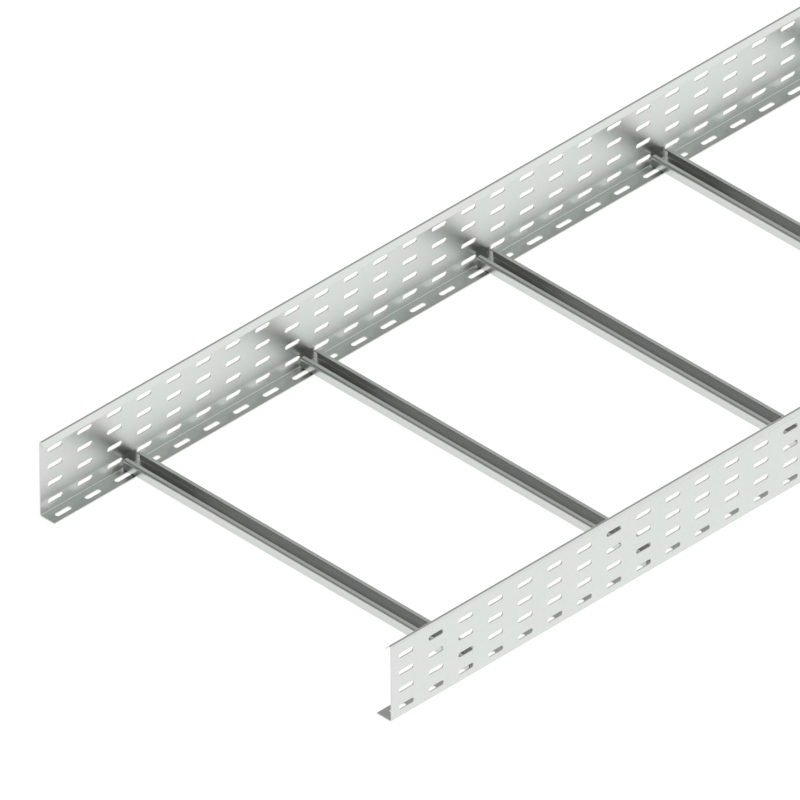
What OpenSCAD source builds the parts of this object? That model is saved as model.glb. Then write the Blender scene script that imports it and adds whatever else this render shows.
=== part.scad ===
// Cable ladder section: two perforated side rails joined by rungs of C-profile.
// X runs along the ladder, Y across it and Z up. The origin is the centre of the underside.

/* [Ladder] */
// Length of the section along the cable run
ladder_length = 3000; // [600:100:6000]
// Width over the outer faces of the two side rails
ladder_width = 600; // [200:50:900]
// Distance between the centre lines of neighbouring rungs
rung_pitch = 300; // [200:50:600]

/* [Side rails] */
// Height of a side rail
rail_height = 110; // [70:5:160]
// Width of the bottom flange, from the outer face of the web
flange_width = 25; // [22:1:45]
// Reach of the folded top lip, from the outer face of the web
lip_reach = 10.5; // [8.5:0.5:15]
// Angle at which the top lip slopes down from the level
lip_slope = 45; // [25:5:60]
// Thickness of the sheet that a side rail is folded from
rail_sheet = 1.5; // [1:0.1:2]
// Radius on the inside of each fold of a side rail
rail_fold_radius = 1.5; // [0.8:0.1:2]

/* [Slots] */
// Length of a slot over its round ends
slot_length = 25; // [12:1:35]
// Width of a slot
slot_width = 7; // [5:0.5:9]
// Distance between the centres of neighbouring slots in a row
slot_pitch = 50; // [40:1:80]
// Distance between neighbouring rows of slots in the web
row_pitch = 25; // [15:1:30]
// Height of the lowest row of slots above the underside
first_row_height = 15; // [12:1:25]
// Distance of the flange's row of slots from the outer face of the web
flange_row_offset = 14.5; // [10:0.5:16]

/* [Rungs] */
// Width of a rung over its walls
rung_width = 30; // [24:1:50]
// Height of a rung
rung_height = 15; // [12:1:25]
// Opening between the two lips of a rung
rung_mouth = 16.5; // [8:0.5:17]
// Thickness of the sheet that a rung is folded from
rung_sheet = 1.5; // [1:0.1:2]
// Radius on the inside of each fold of a rung
rung_fold_radius = 1.5; // [0.8:0.1:2]
// Gap between the end of a rung and the web beside it
rung_end_gap = 3.5; // [1:0.5:8]

/* [Hidden] */
// Facets of a full circle, and how far a cutter runs past what it cuts
$fn = 64;
overrun = 1;

// Radius on the outside of a fold
rail_bend_radius = rail_fold_radius + rail_sheet;
rung_bend_radius = rung_fold_radius + rung_sheet;

// The top fold ends where the sheet has turned down to the slope of the lip
fold_reach = rail_bend_radius * (1 + sin(lip_slope));
fold_drop = rail_bend_radius * (1 - cos(lip_slope));
lip_length = (lip_reach - fold_reach) / cos(lip_slope);
lip_depth = fold_drop + lip_length * sin(lip_slope) + rail_sheet * cos(lip_slope);

// The lip is set into its fold by a hair, so that the faces of the two cross and don't just touch
lip_bite = rail_fold_radius / 300;
lip_overlap = (bite_chord(rail_fold_radius) + bite_chord(rail_bend_radius)) / 2;
fold_overlap = (bite_angle(rail_fold_radius) + bite_angle(rail_bend_radius)) / 2;

// Rows of web slots fill the height from the lowest row up to just under the lip
highest_row = rail_height - lip_depth - rail_sheet - slot_width / 2;
row_count = 1 + floor((highest_row - first_row_height) / row_pitch);
slot_count = floor(ladder_length / slot_pitch);

rung_count = floor(ladder_length / rung_pitch);
rung_length = ladder_width - 2 * (rail_sheet + rung_end_gap);

steel = [0.78, 0.80, 0.79];

// Half the chord, and half its angle, that the bite of the lip cuts off a circle
function bite_chord(radius) = sqrt(2 * radius * lip_bite - pow(lip_bite, 2));
function bite_angle(radius) = acos(1 - lip_bite / radius);

// Place along X of one copy, numbered from 1, in a row of copies centred on the origin
function place(number, count, pitch) = (number - (count + 1) / 2) * pitch;

// Lays a profile drawn in X and Y across the ladder and sweeps it along the ladder
module sweep_along(length) {
    rotate([90, 0, 90])
        linear_extrude(height = length, center = true)
            children();
}

// Lays a profile drawn in X and Y along the ladder and sweeps it across the ladder
module sweep_across(length) {
    rotate([90, 0, 0])
        linear_extrude(height = length, center = true)
            children();
}

// Section through a fold about the origin, from a start angle round to an end angle
module fold(inner_radius, sheet, start_angle, end_angle) {
    outer_radius = inner_radius + sheet;
    reach = 2 * outer_radius;
    difference() {
        circle(r = outer_radius);
        circle(r = inner_radius);
        rotate(start_angle)
            translate([-reach, -2 * reach])
                square(2 * reach);
        rotate(end_angle)
            translate([-reach, 0])
                square(2 * reach);
    }
}

// Section through a side rail, with the outer face of its web on the Y axis
module rail_section() {
    translate([rail_bend_radius, 0])
        square([flange_width - rail_bend_radius, rail_sheet]);
    translate([rail_bend_radius, rail_bend_radius])
        fold(rail_fold_radius, rail_sheet, 180, 270);
    translate([0, rail_bend_radius])
        square([rail_sheet, rail_height - 2 * rail_bend_radius]);
    translate([rail_bend_radius, rail_height - rail_bend_radius]) {
        fold(rail_fold_radius, rail_sheet, 90 - lip_slope - fold_overlap, 180);
        rotate(-lip_slope)
            translate([-lip_overlap, rail_fold_radius - lip_bite])
                square([lip_overlap + lip_length, rail_sheet]);
    }
}

// Outline of one slot, centred on the origin and running along X
module slot() {
    straight = slot_length - slot_width;
    square([straight, slot_width], center = true);
    for (side = [-1, 1])
        translate([side * straight / 2, 0])
            circle(d = slot_width);
}

// Row of slots along the whole rail, at a distance from the X axis
module slot_row(distance) {
    for (number = [1:slot_count])
        translate([place(number, slot_count, slot_pitch), distance])
            slot();
}

// One side rail, with the outer face of its web on the XZ plane and its flange towards +Y
module side_rail() {
    difference() {
        sweep_along(ladder_length)
            rail_section();
        translate([0, rail_sheet / 2, 0])
            sweep_across(rail_sheet + 2 * overrun)
                for (row = [1:row_count])
                    slot_row(first_row_height + (row - 1) * row_pitch);
        translate([0, 0, -overrun])
            linear_extrude(height = rail_sheet + 2 * overrun)
                slot_row(flange_row_offset);
    }
}

module side_rail_right() {
    color(steel)
        translate([0, -ladder_width / 2, 0])
            side_rail();
}

module side_rail_left() {
    color(steel)
        mirror([0, 1, 0])
            translate([0, -ladder_width / 2, 0])
                side_rail();
}

// Rectangle standing on the X axis with round corners
module rounded_block(width, height, radius) {
    translate([0, height / 2]) {
        square([width - 2 * radius, height], center = true);
        square([width, height - 2 * radius], center = true);
        for (x = [-1, 1], y = [-1, 1])
            translate([x * (width / 2 - radius), y * (height / 2 - radius)])
                circle(r = radius);
    }
}

// Section through a rung: a C on its back, with its two lips turned in at the top
module rung_section() {
    difference() {
        rounded_block(rung_width, rung_height, rung_bend_radius);
        translate([0, rung_sheet])
            rounded_block(rung_width - 2 * rung_sheet, rung_height - 2 * rung_sheet, rung_fold_radius);
        translate([-rung_mouth / 2, rung_height / 2])
            square([rung_mouth, rung_height]);
    }
}

// One rung, resting on the flanges of both side rails
module rung(number) {
    color(steel)
        translate([place(number, rung_count, rung_pitch), 0, rail_sheet])
            sweep_across(rung_length)
                rung_section();
}

side_rail_left();
side_rail_right();
for (number = [1:rung_count])
    rung(number);
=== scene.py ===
"""Looks of a cable ladder section: the zinc on its rails and rungs, the stage, the light and the camera.

The side rails and the rungs come with the frame at their real size and keep their shape here.
Lengths are in metres and angles in radians, in the ladder's own frame: X along it, Y across it, Z up.
"""

import math

import bmesh
import bpy
from bpy.props import FloatProperty, FloatVectorProperty, PointerProperty
from mathutils import Matrix, Vector


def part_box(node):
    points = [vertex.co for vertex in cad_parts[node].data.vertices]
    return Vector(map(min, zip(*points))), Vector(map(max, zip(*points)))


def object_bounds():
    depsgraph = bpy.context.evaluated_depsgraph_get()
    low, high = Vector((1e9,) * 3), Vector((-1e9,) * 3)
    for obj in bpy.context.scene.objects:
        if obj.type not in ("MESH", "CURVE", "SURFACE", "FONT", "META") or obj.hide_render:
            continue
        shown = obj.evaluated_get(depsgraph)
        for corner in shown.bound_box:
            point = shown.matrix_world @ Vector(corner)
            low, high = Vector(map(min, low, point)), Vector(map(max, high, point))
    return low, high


bl_info = {
    "name": "Cable Ladder Section",
    "version": (1, 0, 0),
    "blender": (4, 5, 0),
    "location": "View3D > Sidebar > Cable Ladder",
    "description": "Zinc finish, stage, light and camera for a cable ladder section",
    "category": "Material",
}

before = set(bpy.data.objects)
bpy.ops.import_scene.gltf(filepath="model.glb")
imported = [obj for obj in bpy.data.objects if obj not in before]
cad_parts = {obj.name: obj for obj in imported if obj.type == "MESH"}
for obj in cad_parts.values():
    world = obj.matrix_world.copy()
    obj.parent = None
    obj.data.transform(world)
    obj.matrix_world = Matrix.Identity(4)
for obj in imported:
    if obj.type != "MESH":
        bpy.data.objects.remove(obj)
CAD_LOW, CAD_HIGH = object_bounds()
RAILS = sorted(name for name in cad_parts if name.startswith("side_rail"))
RUNGS = sorted(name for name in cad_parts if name.startswith("rung"))


def rung_centres():
    """Places along X of the middles of the rungs, in order."""
    return sorted((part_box(name)[0].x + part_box(name)[1].x) / 2 for name in RUNGS)


# Where the rungs stand, the heights of a rung's underside and top, and half its width
CENTRES = rung_centres()
RUNG_PITCH = (CENTRES[-1] - CENTRES[0]) / (len(CENTRES) - 1)
RUNG_LOW, RUNG_HIGH = (corner.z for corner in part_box(RUNGS[0]))
RUNG_HALF = (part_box(RUNGS[0])[1].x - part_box(RUNGS[0])[0].x) / 2

# Directions in which the strips of the side rails and of the rungs were rolled
ALONG_LADDER = (1, 0, 0)
ACROSS_LADDER = (0, 1, 0)

# Waves in the width of one crystal by which its edges wander, and how far, as a share of that width
WANDER_WAVES = 1.5
WANDER_REACH = 0.5

# Waves in a metre: of the rolling lines along the strip, and of the fine grain
LINE_WAVES_ALONG = 3.0
GRAIN_WAVES = 900.0

# Height of the rolling lines, as a share of the height of the grain
LINE_RELIEF_SHARE = 0.6

# How far the roughness swings: of the zinc, as a share of itself, and of the cut steel
CRYSTAL_ROUGHNESS_SWING = 0.06
CLOUD_ROUGHNESS_SWING = 0.10
CUT_ROUGHNESS_SWING = 0.15

# Factors on the painted shade where it is weaker and where it is stronger, from one crystal or patch to the
# next
SHADE_THIN, SHADE_THICK = 0.92, 1.08

# Range that most of the cloud noise lies in
CLOUDS_LOW, CLOUDS_HIGH = 0.3, 0.7

# A fading painted shade falls to this share of itself over each length of its fade
FADE_STEP = 1 / 3

# A face looks along an axis where the part of its normal along that axis is above this
LOOKS_ALONG = 0.5

# The same for the ends of a rail, set lower to take in the round ends of its slots
LOOKS_ENDWAYS = 0.2

# Upward part of a normal where the painted shade on level faces is full and where it has ended
LEVEL_FULL = math.cos(math.radians(15))
LEVEL_END = math.cos(math.radians(35))

# Upward part of a normal where the painted dark line on a rung's rims starts, where it is full and where it
# stops
RIM_START = math.cos(math.radians(10))
RIM_FULL = math.cos(math.radians(18))
RIM_STOP = math.cos(math.radians(48))

WHITE = (1.0, 1.0, 1.0, 1.0)

# Direction of the brighter patch in the studio's ceiling
PATCH_DIRECTION = Vector((1, -1, 1)).normalized()

# How many times nearer and farther than its aim the camera still sees
CLIP_SPAN = 10

# Places of the Mix node's sockets when it mixes colours
MIX_FACTOR, MIX_FIRST, MIX_SECOND, MIX_RESULT = 0, 6, 7, 2


class ZincCoat:
    """The settings that the zinc coats of the rails and of the rungs share."""

    # The zinc's colour before painted shade is taken from it
    colour: FloatVectorProperty(
        name="Colour", description="Colour of the clean zinc", subtype="COLOR",
        min=0.0, max=1.0, default=(0.712, 0.745, 0.718),
    )
    roughness: FloatProperty(
        name="Roughness", description="Roughness of the clean zinc", subtype="FACTOR",
        min=0.0, max=1.0, default=0.32,
    )
    spangle_size: FloatProperty(
        name="Spangle Size", description="Width of one zinc crystal", unit="LENGTH",
        min=0.001, default=0.005,
    )
    spangle_contrast: FloatProperty(
        name="Spangle Contrast", description="How far one crystal is from the next in brightness",
        subtype="FACTOR", min=0.0, max=1.0, default=0.022,
    )
    cloud_size: FloatProperty(
        name="Cloud Size", description="Width of a paler or duller patch of the coat", unit="LENGTH",
        min=0.01, default=0.120,
    )
    cloud_contrast: FloatProperty(
        name="Cloud Contrast", description="How far a patch is from the next in brightness",
        subtype="FACTOR", min=0.0, max=1.0, default=0.024,
    )
    line_spacing: FloatProperty(
        name="Line Spacing", description="Distance between the fine lines that rolling leaves",
        unit="LENGTH", min=0.0002, default=0.0012,
    )
    line_contrast: FloatProperty(
        name="Line Contrast", description="Brightness of the rolling lines", subtype="FACTOR",
        min=0.0, max=1.0, default=0.020,
    )
    relief: FloatProperty(
        name="Relief", description="Height of the grain of the coat", unit="LENGTH",
        min=0.0, default=0.000002,
    )


class RailFinish(ZincCoat, bpy.types.PropertyGroup):
    """The zinc coat of the side rails."""


class RungFinish(ZincCoat, bpy.types.PropertyGroup):
    """The zinc coat of the rungs, a little greyer and smoother than that of the rails."""

    colour: FloatVectorProperty(
        name="Colour", description="Colour of the clean zinc", subtype="COLOR",
        min=0.0, max=1.0, default=(0.660, 0.690, 0.667),
    )
    # A lighter copy of the rung's zinc, painted light inside the shaded channel
    lit_channel_colour: FloatVectorProperty(
        name="Inner Colour", description="Colour of the clean zinc inside the channel", subtype="COLOR",
        min=0.0, max=1.0, default=(0.698, 0.713, 0.689),
    )
    roughness: FloatProperty(
        name="Roughness", description="Roughness of the clean zinc", subtype="FACTOR",
        min=0.0, max=1.0, default=0.30,
    )


class PaintedShade(bpy.types.PropertyGroup):
    """Painted shade: level faces, rung rims, the rails' lower folds and inner webs, and the rungs'
    channels.

    A strength is the share of the brightness that the painted shade takes.
    """

    flange: FloatProperty(
        name="Flange", description="Strength on the level faces of a side rail", subtype="FACTOR",
        min=0.0, max=1.0, default=0.35,
    )
    lips: FloatProperty(
        name="Lips", description="Strength on the level faces of a rung's lips", subtype="FACTOR",
        min=0.0, max=1.0, default=0.15,
    )
    rims: FloatProperty(
        name="Rims", description="Strength on the upper half of the folds that a rung's lips start from",
        subtype="FACTOR", min=0.0, max=1.0, default=0.35,
    )
    fold: FloatProperty(
        name="Fold", description="Strength in the fold between a side rail's web and its flange",
        subtype="FACTOR", min=0.0, max=1.0, default=0.24,
    )
    web: FloatProperty(
        name="Web", description="Strength on the inner face of a side rail's web", subtype="FACTOR",
        min=0.0, max=1.0, default=0.015,
    )
    band: FloatProperty(
        name="Band", description="Strength that is added in a band along the web's inner face",
        subtype="FACTOR", min=0.0, max=1.0, default=0.25,
    )
    band_low: FloatProperty(
        name="Band Low", description="Height from which the band is full", unit="LENGTH", default=0.022,
    )
    band_high: FloatProperty(
        name="Band High", description="Height from which the band fades", unit="LENGTH", default=0.029,
    )
    band_fade: FloatProperty(
        name="Band Fade", description="Height in which the band falls to a third", unit="LENGTH",
        min=0.001, default=0.025,
    )
    channel: FloatProperty(
        name="Channel", description="Strength inside a rung, beside the left rail", subtype="FACTOR",
        min=0.0, max=1.0, default=0.22,
    )
    channel_reach: FloatProperty(
        name="Channel Reach", unit="LENGTH", default=0.090,
        description="Distance from the left rail's outer face up to which the film inside a rung is full",
    )
    channel_fade: FloatProperty(
        name="Channel Fade", description="Distance in which the film inside a rung falls to a third",
        unit="LENGTH", min=0.001, default=0.038,
    )


class CutEdge(bpy.types.PropertyGroup):
    """The punched and sheared edges of the sheet, where the steel shows between its two coats."""

    colour: FloatVectorProperty(
        name="Colour", description="Colour of the cut steel", subtype="COLOR",
        min=0.0, max=1.0, default=(0.70, 0.69, 0.67),
    )
    roughness: FloatProperty(
        name="Roughness", description="Roughness of the cut steel", subtype="FACTOR",
        min=0.0, max=1.0, default=0.42,
    )


class Sheet(bpy.types.PropertyGroup):
    """Sizes of the folded sheet, which tell its cut edges from its faces."""

    thickness: FloatProperty(
        name="Thickness", description="Thickness of the sheet", unit="LENGTH", default=0.0015,
    )
    bend_radius: FloatProperty(
        name="Bend Radius", description="Outer radius of a fold", unit="LENGTH", default=0.003,
    )
    lip_reach: FloatProperty(
        name="Lip Reach", description="Reach of a rail's top lip from its web's outer face",
        unit="LENGTH", default=0.0105,
    )
    mouth: FloatProperty(
        name="Rung Mouth", description="Opening between the lips of a rung", unit="LENGTH", default=0.0165,
    )


class Stage(bpy.types.PropertyGroup):
    """The floor that the ladder lies on."""

    reach: FloatProperty(
        name="Floor Reach", description="Half the width of the floor", unit="LENGTH", default=150.0,
    )
    colour: FloatVectorProperty(
        name="Floor Colour", description="Colour of the floor where light falls on it", subtype="COLOR",
        min=0.0, max=1.0, default=(0.34, 0.34, 0.34),
    )
    glow: FloatProperty(
        name="Floor Glow", description="Share of the floor's white that a shadow doesn't take away",
        subtype="FACTOR", min=0.0, max=1.0, default=0.87,
    )


class Studio(bpy.types.PropertyGroup):
    """Soft light from all round: pale towards -Y, grey towards +Y, dim towards -X, and a brighter patch."""

    wall: FloatProperty(
        name="Wall", description="Brightness of the low wall all round", min=0.0, default=0.80,
    )
    pale_side: FloatProperty(
        name="Pale Side", description="Brightness of the side towards -Y", min=0.0, default=0.80,
    )
    grey_side: FloatProperty(
        name="Grey Side", description="Brightness of the side towards +Y", min=0.0, default=0.60,
    )
    dim_end: FloatProperty(
        name="Dim End", description="Brightness of the end towards -X", min=0.0, default=0.38,
    )
    patch_gain: FloatProperty(
        name="Patch Gain", description="Brightness that the patch high up between +X and -Y adds",
        min=0.0, default=0.34,
    )
    patch_reach: FloatProperty(
        name="Patch Reach", description="Angle from the middle of the patch to its edge", subtype="ANGLE",
        default=math.radians(40),
    )
    wall_top: FloatProperty(
        name="Wall Top", description="Angle above the level up to which the low wall reaches",
        subtype="ANGLE", default=math.radians(8),
    )
    dim_start: FloatProperty(
        name="Dim Start", description="Angle towards +X at which the light starts to rise from the dim end",
        subtype="ANGLE", default=math.radians(-25),
    )
    dim_stop: FloatProperty(
        name="Dim Stop", description="Angle towards +X at which the light is full",
        subtype="ANGLE", default=math.radians(20),
    )
    turn_start: FloatProperty(
        name="Turn Start", description="Angle towards +Y at which the light starts to turn grey",
        subtype="ANGLE", default=math.radians(-22),
    )
    turn_end: FloatProperty(
        name="Turn End", description="Angle towards +Y at which the light is grey", subtype="ANGLE",
        default=math.radians(8),
    )


class View(bpy.types.PropertyGroup):
    """A long lens from far off, which keeps the ladder's parallel edges nearly parallel."""

    aim: FloatVectorProperty(
        name="Aim", description="Point on the floor in the middle of the picture", subtype="TRANSLATION",
        unit="LENGTH", default=(-1.0253, 0.1645, 0.0),
    )
    azimuth: FloatProperty(
        name="Azimuth", description="Direction that the camera looks from, round from -Y",
        subtype="ANGLE", default=math.radians(-44.595),
    )
    elevation: FloatProperty(
        name="Elevation", description="Angle of the camera above the floor", subtype="ANGLE",
        default=math.radians(35.315),
    )
    roll: FloatProperty(
        name="Roll", description="Turn of the camera about its own line of sight", subtype="ANGLE",
        default=math.radians(-0.284),
    )
    distance: FloatProperty(
        name="Distance", description="Distance from the aim to the camera", unit="LENGTH", default=42.891,
    )
    lens: FloatProperty(
        name="Lens", description="Focal length in millimetres", unit="CAMERA", default=1600.0,
    )
    sensor: FloatProperty(
        name="Sensor", description="Width of the sensor in millimetres", unit="CAMERA", default=36.0,
    )


class LadderSettings(bpy.types.PropertyGroup):
    """Everything about the looks of the ladder that a user would change."""

    rail_finish: PointerProperty(
        name="Rail Finish", description="Zinc coat of the side rails", type=RailFinish,
    )
    rung_finish: PointerProperty(
        name="Rung Finish", description="Zinc coat of the rungs", type=RungFinish,
    )
    # Painted shade: darkening painted into the zinc's colour where shade falls
    painted_shade: PointerProperty(
        name="Painted Shade", description="Shade painted into the zinc's colour in places", type=PaintedShade,
    )
    cut_edge: PointerProperty(
        name="Cut Edge", description="Bare steel where the sheet was cut", type=CutEdge,
    )
    sheet: PointerProperty(
        name="Sheet", description="Sizes of the folded sheet", type=Sheet,
    )
    stage: PointerProperty(
        name="Stage", description="Floor under the ladder", type=Stage,
    )
    studio: PointerProperty(
        name="Studio", description="Light all round the ladder", type=Studio,
    )
    view: PointerProperty(
        name="View", description="Place and lens of the camera", type=View,
    )


class Graph:
    """Shorthand for filling a node tree."""

    def __init__(self, tree):
        tree.nodes.clear()
        self.tree = tree

    def node(self, kind, inputs=None, **settings):
        """Adds a node. An input is a value, or an output of another node to link to."""
        made = self.tree.nodes.new(kind)
        for name, value in settings.items():
            setattr(made, name, value)
        for name, value in (inputs or {}).items():
            if isinstance(value, bpy.types.NodeSocket):
                self.tree.links.new(value, made.inputs[name])
            else:
                made.inputs[name].default_value = value
        return made

    def math(self, operation, *values):
        """A Math node's output."""
        return self.node("ShaderNodeMath", dict(enumerate(values)), operation=operation).outputs[0]

    def chain(self, operation, values):
        """An operation on two values, carried on over all of them."""
        result = values[0]
        for value in values[1:]:
            result = self.math(operation, result, value)
        return result

    def sum_of(self, *values):
        """The values added up."""
        return self.chain("ADD", values)

    def all_of(self, *masks):
        """1 where every mask is 1, scaled by each strength among them."""
        return self.chain("MULTIPLY", masks)

    def any_of(self, *masks):
        """1 where at least one mask is 1, or the highest of several strengths."""
        return self.chain("MAXIMUM", masks)

    def rest_of(self, value):
        """What the value leaves of 1."""
        return self.math("SUBTRACT", 1.0, value)

    def above(self, value, limit):
        """1 where the value is above the limit."""
        return self.math("GREATER_THAN", value, limit)

    def below(self, value, limit):
        """1 where the value is below the limit."""
        return self.math("LESS_THAN", value, limit)

    def size_of(self, value):
        """The value without its sign."""
        return self.math("ABSOLUTE", value)

    def split(self, vector):
        """The X, Y and Z of a vector."""
        return self.node("ShaderNodeSeparateXYZ", {"Vector": vector}).outputs

    def scaled(self, vector, factor):
        """A vector or a colour times a number."""
        return self.node("ShaderNodeVectorMath", {0: vector, "Scale": factor}, operation="SCALE").outputs[0]

    def mix(self, mask, first, second):
        """One number turning into another as the mask goes from 0 to 1."""
        return self.sum_of(self.all_of(first, self.rest_of(mask)), self.all_of(second, mask))

    def blend(self, mask, first, second):
        """One colour turning into another as the mask goes from 0 to 1."""
        inputs = {MIX_FACTOR: mask, MIX_FIRST: first, MIX_SECOND: second}
        return self.node("ShaderNodeMix", inputs, data_type="RGBA").outputs[MIX_RESULT]

    def between(self, value, low, high, new_low=0.0, new_high=1.0):
        """The value carried from one range to another and held inside it."""
        inputs = {"Value": value, "From Min": low, "From Max": high, "To Min": new_low, "To Max": new_high}
        return self.node("ShaderNodeMapRange", inputs).outputs["Result"]

    def noise(self, vector, scale, detail=2.0):
        """Soft random values about a half."""
        inputs = {"Vector": vector, "Scale": scale, "Detail": detail}
        return self.node("ShaderNodeTexNoise", inputs).outputs["Fac"]


def opaque(colour):
    """A colour property as the four numbers that a colour socket takes."""
    return (*colour, 1.0)


def swing(graph, value, reach):
    """A random value about a half, turned into one that swings about 0."""
    return graph.math("MULTIPLY", graph.math("SUBTRACT", value, 0.5), reach)


def zinc_crystals(graph, position, finish):
    """A random value for each crystal of the zinc, with edges that wander."""
    waves = WANDER_WAVES / finish.spangle_size
    wander = graph.node("ShaderNodeTexNoise", {"Vector": position, "Scale": waves, "Detail": 1.0})
    offset = graph.scaled(wander.outputs["Color"], WANDER_REACH * finish.spangle_size)
    moved = graph.node("ShaderNodeVectorMath", {0: position, 1: offset}, operation="ADD").outputs[0]
    cells = graph.node("ShaderNodeTexVoronoi", {"Vector": moved, "Scale": 1.0 / finish.spangle_size})
    return graph.node("ShaderNodeSeparateColor", {"Color": cells.outputs["Color"]}).outputs[0]


def rolling_lines(graph, position, finish, strip):
    """Fine lines along the strip, which the rolls leave in the steel."""
    waves_across = 1.0 / finish.line_spacing
    waves = tuple(LINE_WAVES_ALONG if part else waves_across for part in strip)
    stretched = graph.node("ShaderNodeMapping", {"Vector": position, "Scale": waves})
    return graph.noise(stretched.outputs[0], 1.0, detail=3.0)


def zinc_steel(name, finish, edge, strip, cut_mask, shade_mask, zinc_under_shade):
    """Zinc-coated steel sheet with crystals, cloudy patches, rolling lines, painted shade and bare cut
    edges.

    strip is the direction in which the sheet was rolled. The cut mask finds the cut edges, the shade mask
    gives the share of the brightness that the painted shade takes, and the zinc colour is that of the zinc
    under it.
    """
    material = bpy.data.materials.new(name)
    material.use_nodes = True
    graph = Graph(material.node_tree)
    coordinates = graph.node("ShaderNodeTexCoord")
    position = coordinates.outputs["Object"]
    normal = coordinates.outputs["Normal"]
    crystals = zinc_crystals(graph, position, finish)
    clouds = graph.noise(position, 1.0 / finish.cloud_size, detail=3.0)
    lines = rolling_lines(graph, position, finish, strip)
    grain = graph.noise(position, GRAIN_WAVES)
    cut = cut_mask(graph, position, normal)

    gain = graph.sum_of(
        swing(graph, crystals, finish.spangle_contrast),
        swing(graph, clouds, finish.cloud_contrast),
        swing(graph, lines, finish.line_contrast),
    )
    # Painted shade: the share of brightness taken from the zinc's colour, varied a little by patch and
    # crystal
    shade = graph.all_of(
        shade_mask(graph, position, normal),
        graph.between(clouds, CLOUDS_LOW, CLOUDS_HIGH, SHADE_THIN, SHADE_THICK),
        graph.between(crystals, 0.0, 1.0, SHADE_THIN, SHADE_THICK),
    )
    tone = graph.all_of(graph.sum_of(1.0, gain), graph.rest_of(shade))
    zinc = graph.scaled(zinc_under_shade(graph, position), tone)
    colour = graph.blend(cut, zinc, opaque(edge.colour))

    coat_roughness = graph.sum_of(
        finish.roughness,
        swing(graph, crystals, CRYSTAL_ROUGHNESS_SWING * finish.roughness),
        swing(graph, clouds, CLOUD_ROUGHNESS_SWING * finish.roughness),
    )
    cut_roughness = graph.sum_of(edge.roughness, swing(graph, grain, CUT_ROUGHNESS_SWING))
    roughness = graph.mix(cut, coat_roughness, cut_roughness)

    height = graph.sum_of(grain, graph.all_of(lines, LINE_RELIEF_SHARE))
    bump = graph.node("ShaderNodeBump", {"Height": height, "Strength": 1.0, "Distance": finish.relief})
    shader = graph.node(
        "ShaderNodeBsdfPrincipled",
        {"Base Color": colour, "Metallic": 1.0, "Roughness": roughness, "Normal": bump.outputs[0]},
    )
    graph.node("ShaderNodeOutputMaterial", {"Surface": shader.outputs[0]})
    return material


def facing_middle(graph, y, normal_y):
    """1 on a rail's faces that look towards the middle of the ladder."""
    return graph.below(graph.math("MULTIPLY", normal_y, y), 0.0)


def rail_cuts(sheet):
    """Finds a rail's cut edges: its ends, the walls of its slots and the edges of its flange and lip."""

    def mask(graph, position, normal):
        _, y, z = graph.split(position)
        normal_x, normal_y, normal_z = graph.split(normal)
        depth = graph.math("SUBTRACT", CAD_HIGH.y, graph.size_of(y))
        low_down = graph.below(z, sheet.bend_radius)
        under_lip = graph.below(z, CAD_HIGH.z - sheet.bend_radius)
        in_web = graph.all_of(graph.above(z, sheet.bend_radius), under_lip)
        in_flange = graph.all_of(low_down, graph.above(depth, sheet.bend_radius))
        at_lip_edge = graph.above(depth, sheet.lip_reach - sheet.thickness)
        ends = graph.above(graph.size_of(normal_x), LOOKS_ENDWAYS)
        web_walls = graph.all_of(in_web, graph.below(graph.size_of(normal_y), LOOKS_ALONG))
        flange_walls = graph.all_of(in_flange, graph.below(graph.size_of(normal_z), LOOKS_ALONG))
        looking_down = graph.below(normal_z, -LOOKS_ALONG)
        lip_edge = graph.all_of(at_lip_edge, facing_middle(graph, y, normal_y), looking_down)
        return graph.any_of(ends, web_walls, flange_walls, lip_edge)

    return mask


def distance_from_rung(graph, x):
    """Distance along X from the middle of the nearest rung."""
    from_first = graph.math("SUBTRACT", x, CENTRES[0])
    return graph.size_of(graph.math("WRAP", from_first, RUNG_PITCH / 2, -RUNG_PITCH / 2))


def rung_cuts(sheet):
    """Finds a rung's cut edges: its two ends and the edges of its lips."""

    def mask(graph, position, normal):
        x, _, z = graph.split(position)
        normal_x, normal_y, _ = graph.split(normal)
        ends = graph.above(graph.size_of(normal_y), LOOKS_ALONG)
        at_mouth = graph.below(distance_from_rung(graph, x), sheet.mouth / 2 + sheet.thickness)
        over_floor = graph.above(z, 2 * sheet.bend_radius)
        looking_along = graph.above(graph.size_of(normal_x), LOOKS_ALONG)
        return graph.any_of(ends, graph.all_of(at_mouth, over_floor, looking_along))

    return mask


def faded(graph, distance, strength, fade):
    """The full strength up to a distance of 0, falling to a third of it over each length of the fade."""
    fall = graph.math("POWER", FADE_STEP, graph.math("DIVIDE", distance, fade))
    return graph.all_of(strength, graph.math("MINIMUM", fall, 1.0))


def lying_level(graph, up):
    """1 on what faces straight up, down to 0 on what leans too far. up is the upward part of the normal."""
    return graph.between(up, LEVEL_END, LEVEL_FULL)


def rail_painted_shade(shade, sheet):
    """Painted shade on the level faces of a rail, in its lower fold and on its web's inner face."""

    def mask(graph, position, normal):
        _, y, z = graph.split(position)
        _, normal_y, up = graph.split(normal)
        # A band of painted shade low on the web's inner face, fading upwards
        band = faded(graph, graph.math("SUBTRACT", z, shade.band_high), shade.band, shade.band_fade)
        over_fold = graph.between(z, shade.band_low - sheet.bend_radius, shade.band_low)
        on_web = graph.sum_of(shade.web, graph.all_of(band, over_fold))
        in_fold = graph.all_of(graph.below(z, sheet.bend_radius), shade.fold)
        on_inside = graph.all_of(graph.any_of(on_web, in_fold), facing_middle(graph, y, normal_y))
        on_level = graph.all_of(lying_level(graph, up), shade.flange)
        return graph.any_of(on_inside, on_level)

    return mask


def inside_channel(graph, position, sheet):
    """1 on the faces of a rung that bound its channel."""
    x, _, z = graph.split(position)
    return graph.all_of(
        graph.below(distance_from_rung(graph, x), RUNG_HALF - sheet.thickness / 2),
        graph.above(z, RUNG_LOW + sheet.thickness / 2),
        graph.below(z, RUNG_HIGH - sheet.thickness / 2),
    )


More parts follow.
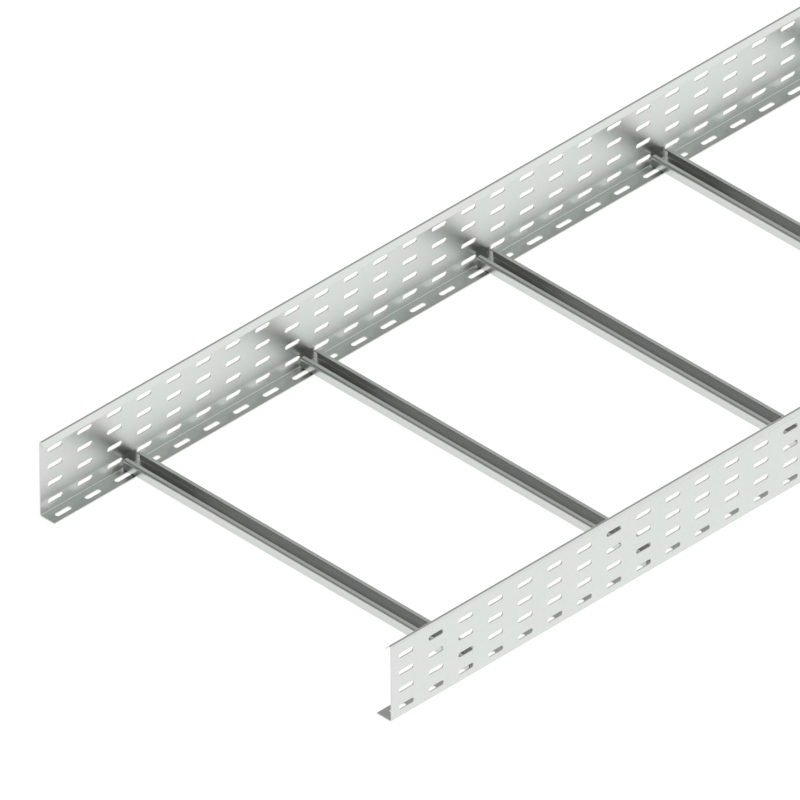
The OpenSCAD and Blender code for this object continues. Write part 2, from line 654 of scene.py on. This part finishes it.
def rung_painted_shade(shade, sheet):
    """Painted shade on a rung's lips and rims, and inside its channel, where it is darkest by the left
    rail.
    """

    def mask(graph, position, normal):
        _, y, z = graph.split(position)
        up = graph.split(normal)[2]
        # Painted shade on the lips' level tops and a painted dark line along the rims
        on_top = graph.above(z, RUNG_HIGH - sheet.thickness / 2)
        on_lips = graph.all_of(lying_level(graph, up), on_top, shade.lips)
        leaning = graph.between(up, RIM_FULL, RIM_START, 1.0, 0.0)
        half_over = graph.above(up, RIM_STOP)
        at_rims = graph.above(z, RUNG_HIGH - sheet.bend_radius)
        on_rims = graph.all_of(leaning, half_over, at_rims, shade.rims)
        # Painted shade inside the channel, darkest by the left rail and fading away from it
        past_reach = graph.math("SUBTRACT", CAD_HIGH.y - shade.channel_reach, y)
        channel_shade = faded(graph, past_reach, shade.channel, shade.channel_fade)
        in_channel = graph.all_of(channel_shade, inside_channel(graph, position, sheet))
        return graph.any_of(on_lips, on_rims, in_channel)

    return mask


def rail_zinc(finish):
    """One colour of zinc all over a rail."""

    def colour(graph, position):
        return tuple(finish.colour)

    return colour


def rung_zinc_with_lit_channel(finish, sheet):
    """The zinc's colour on the outside of a rung, and a lighter copy inside its channel as painted light.
    """

    def colour(graph, position):
        inside = inside_channel(graph, position, sheet)
        return graph.blend(inside, opaque(finish.colour), opaque(finish.lit_channel_colour))

    return colour


def dress(names, material):
    """Gives pieces of the frame a material."""
    if not names:
        raise ValueError(f"The frame has no piece for the material {material.name}")
    for name in names:
        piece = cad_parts[name]
        piece.data.materials.clear()
        piece.data.materials.append(material)


class LADDER_OT_finish_side_rails(bpy.types.Operator):
    """Coat the two side rails in zinc, with rolling lines along the ladder and bare slot walls"""

    bl_idname = "ladder.finish_side_rails"
    bl_label = "Finish Side Rails"

    def execute(self, context):
        settings = context.scene.ladder
        steel = zinc_steel(
            "rail zinc", settings.rail_finish, settings.cut_edge, ALONG_LADDER,
            cut_mask=rail_cuts(settings.sheet),
            # Painted shade on the rails' level faces, lower folds and inner webs
            shade_mask=rail_painted_shade(settings.painted_shade, settings.sheet),
            zinc_under_shade=rail_zinc(settings.rail_finish),
        )
        dress(RAILS, steel)
        return {"FINISHED"}


class LADDER_OT_finish_rungs(bpy.types.Operator):
    """Coat the rungs in zinc, with rolling lines across the ladder and bare ends"""

    bl_idname = "ladder.finish_rungs"
    bl_label = "Finish Rungs"

    def execute(self, context):
        settings = context.scene.ladder
        steel = zinc_steel(
            "rung zinc", settings.rung_finish, settings.cut_edge, ACROSS_LADDER,
            cut_mask=rung_cuts(settings.sheet),
            # Painted shade on the rungs' lips, rims and channels, and painted light inside the channels
            shade_mask=rung_painted_shade(settings.painted_shade, settings.sheet),
            zinc_under_shade=rung_zinc_with_lit_channel(settings.rung_finish, settings.sheet),
        )
        dress(RUNGS, steel)
        return {"FINISHED"}


def white_to_eyes(graph):
    """1 for a ray that shows the background: from the camera, off metal or through glass."""
    rays = graph.node("ShaderNodeLightPath").outputs
    return graph.any_of(rays["Is Camera Ray"], rays["Is Glossy Ray"], rays["Is Transmission Ray"])


def floor_paint(stage):
    """White floor that glows a little to the eye, so that only a soft shadow stays on it."""
    material = bpy.data.materials.new("floor white")
    material.use_nodes = True
    graph = Graph(material.node_tree)
    matt = graph.node("ShaderNodeBsdfDiffuse", {"Color": opaque(stage.colour)})
    strength = graph.all_of(white_to_eyes(graph), stage.glow)
    glow = graph.node("ShaderNodeEmission", {"Strength": strength})
    both = graph.node("ShaderNodeAddShader", {0: matt.outputs[0], 1: glow.outputs[0]})
    graph.node("ShaderNodeOutputMaterial", {"Surface": both.outputs[0]})
    return material


class LADDER_OT_build_stage(bpy.types.Operator):
    """Lay a plain pale floor under the ladder"""

    bl_idname = "ladder.build_stage"
    bl_label = "Build Stage"

    def execute(self, context):
        stage = context.scene.ladder.stage
        shape = bmesh.new()
        bmesh.ops.create_grid(shape, x_segments=1, y_segments=1, size=stage.reach)
        bmesh.ops.translate(shape, verts=shape.verts, vec=(0.0, 0.0, CAD_LOW.z))
        mesh = bpy.data.meshes.new("floor")
        shape.to_mesh(mesh)
        shape.free()
        floor = bpy.data.objects.new("floor", mesh)
        floor.data.materials.append(floor_paint(stage))
        context.scene.collection.objects.link(floor)
        return {"FINISHED"}


def studio_light(studio):
    """World with a low wall all round, soft light over it and one brighter patch."""
    world = bpy.data.worlds.new("studio")
    world.use_nodes = True
    graph = Graph(world.node_tree)
    direction = graph.node("ShaderNodeTexCoord").outputs["Generated"]
    along, across, up = graph.split(direction)
    turned = graph.between(across, math.sin(studio.turn_start), math.sin(studio.turn_end))
    sides = graph.mix(turned, studio.pale_side, studio.grey_side)
    lit = graph.between(along, math.sin(studio.dim_start), math.sin(studio.dim_stop))
    towards_patch = graph.node(
        "ShaderNodeVectorMath", {0: direction, 1: tuple(PATCH_DIRECTION)}, operation="DOT_PRODUCT"
    ).outputs["Value"]
    patch = graph.between(towards_patch, math.cos(studio.patch_reach), 1.0, 0.0, studio.patch_gain)
    ceiling = graph.sum_of(graph.mix(lit, studio.dim_end, sides), patch)
    # The wall fades out over its upper half
    wall_edge = math.sin(studio.wall_top)
    over_wall = graph.between(up, wall_edge / 2, wall_edge)
    strength = graph.mix(over_wall, studio.wall, ceiling)
    light = graph.node("ShaderNodeBackground", {"Color": WHITE, "Strength": strength})
    graph.node("ShaderNodeOutputWorld", {"Surface": light.outputs[0]})
    return world


class LADDER_OT_light_studio(bpy.types.Operator):
    """Light the ladder softly from all round, from a pale side and a grey side"""

    bl_idname = "ladder.light_studio"
    bl_label = "Light Studio"

    def execute(self, context):
        context.scene.world = studio_light(context.scene.ladder.studio)
        return {"FINISHED"}


def camera_place(view):
    """Where the camera stands and how it is turned, as a matrix."""
    back = Vector((
        math.sin(view.azimuth) * math.cos(view.elevation),
        -math.cos(view.azimuth) * math.cos(view.elevation),
        math.sin(view.elevation),
    ))
    level = (-back).to_track_quat("-Z", "Y").to_matrix().to_4x4()
    stand = Matrix.Translation(Vector(view.aim) + back * view.distance)
    return stand @ level @ Matrix.Rotation(view.roll, 4, "Z")


class LADDER_OT_place_camera(bpy.types.Operator):
    """Put the camera high up to one side, looking along the ladder from its near end"""

    bl_idname = "ladder.place_camera"
    bl_label = "Place Camera"

    def execute(self, context):
        view = context.scene.ladder.view
        camera = bpy.data.objects.new("camera", bpy.data.cameras.new("camera"))
        camera.data.lens = view.lens
        camera.data.sensor_width = view.sensor
        camera.data.clip_start = view.distance / CLIP_SPAN
        camera.data.clip_end = view.distance * CLIP_SPAN
        camera.matrix_world = camera_place(view)
        context.scene.collection.objects.link(camera)
        context.scene.camera = camera
        context.scene.view_settings.view_transform = "Standard"
        return {"FINISHED"}


def own_properties(group):
    """The properties that this file gives a group, without those that every group has."""
    return [prop for prop in group.bl_rna.properties if prop.is_runtime]


class LADDER_PT_looks(bpy.types.Panel):
    """The ladder's steps in the 3D view's sidebar"""

    bl_label = "Cable Ladder"
    bl_space_type = "VIEW_3D"
    bl_region_type = "UI"
    bl_category = "Cable Ladder"

    def draw(self, context):
        for operator in OPERATORS:
            self.layout.operator(operator.bl_idname)
        settings = context.scene.ladder
        for pointer in own_properties(settings):
            group = getattr(settings, pointer.identifier)
            box = self.layout.box()
            box.label(text=pointer.name)
            for prop in own_properties(group):
                box.prop(group, prop.identifier)


GROUPS = (RailFinish, RungFinish, PaintedShade, CutEdge, Sheet, Stage, Studio, View, LadderSettings)
OPERATORS = (
    LADDER_OT_finish_side_rails,
    LADDER_OT_finish_rungs,
    LADDER_OT_build_stage,
    LADDER_OT_light_studio,
    LADDER_OT_place_camera,
)


def register():
    """Adds the settings, the operators and the panel to Blender."""
    for made in (*GROUPS, *OPERATORS, LADDER_PT_looks):
        bpy.utils.register_class(made)
    bpy.types.Scene.ladder = PointerProperty(
        name="Cable Ladder", description="Looks of the cable ladder", type=LadderSettings,
    )


def unregister():
    """Takes them out again."""
    del bpy.types.Scene.ladder
    for made in reversed((*GROUPS, *OPERATORS, LADDER_PT_looks)):
        bpy.utils.unregister_class(made)


def main():
    """Registers the add-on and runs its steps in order."""
    register()
    bpy.ops.ladder.finish_side_rails()
    bpy.ops.ladder.finish_rungs()
    bpy.ops.ladder.build_stage()
    bpy.ops.ladder.light_studio()
    bpy.ops.ladder.place_camera()


if __name__ == "__main__":
    main()
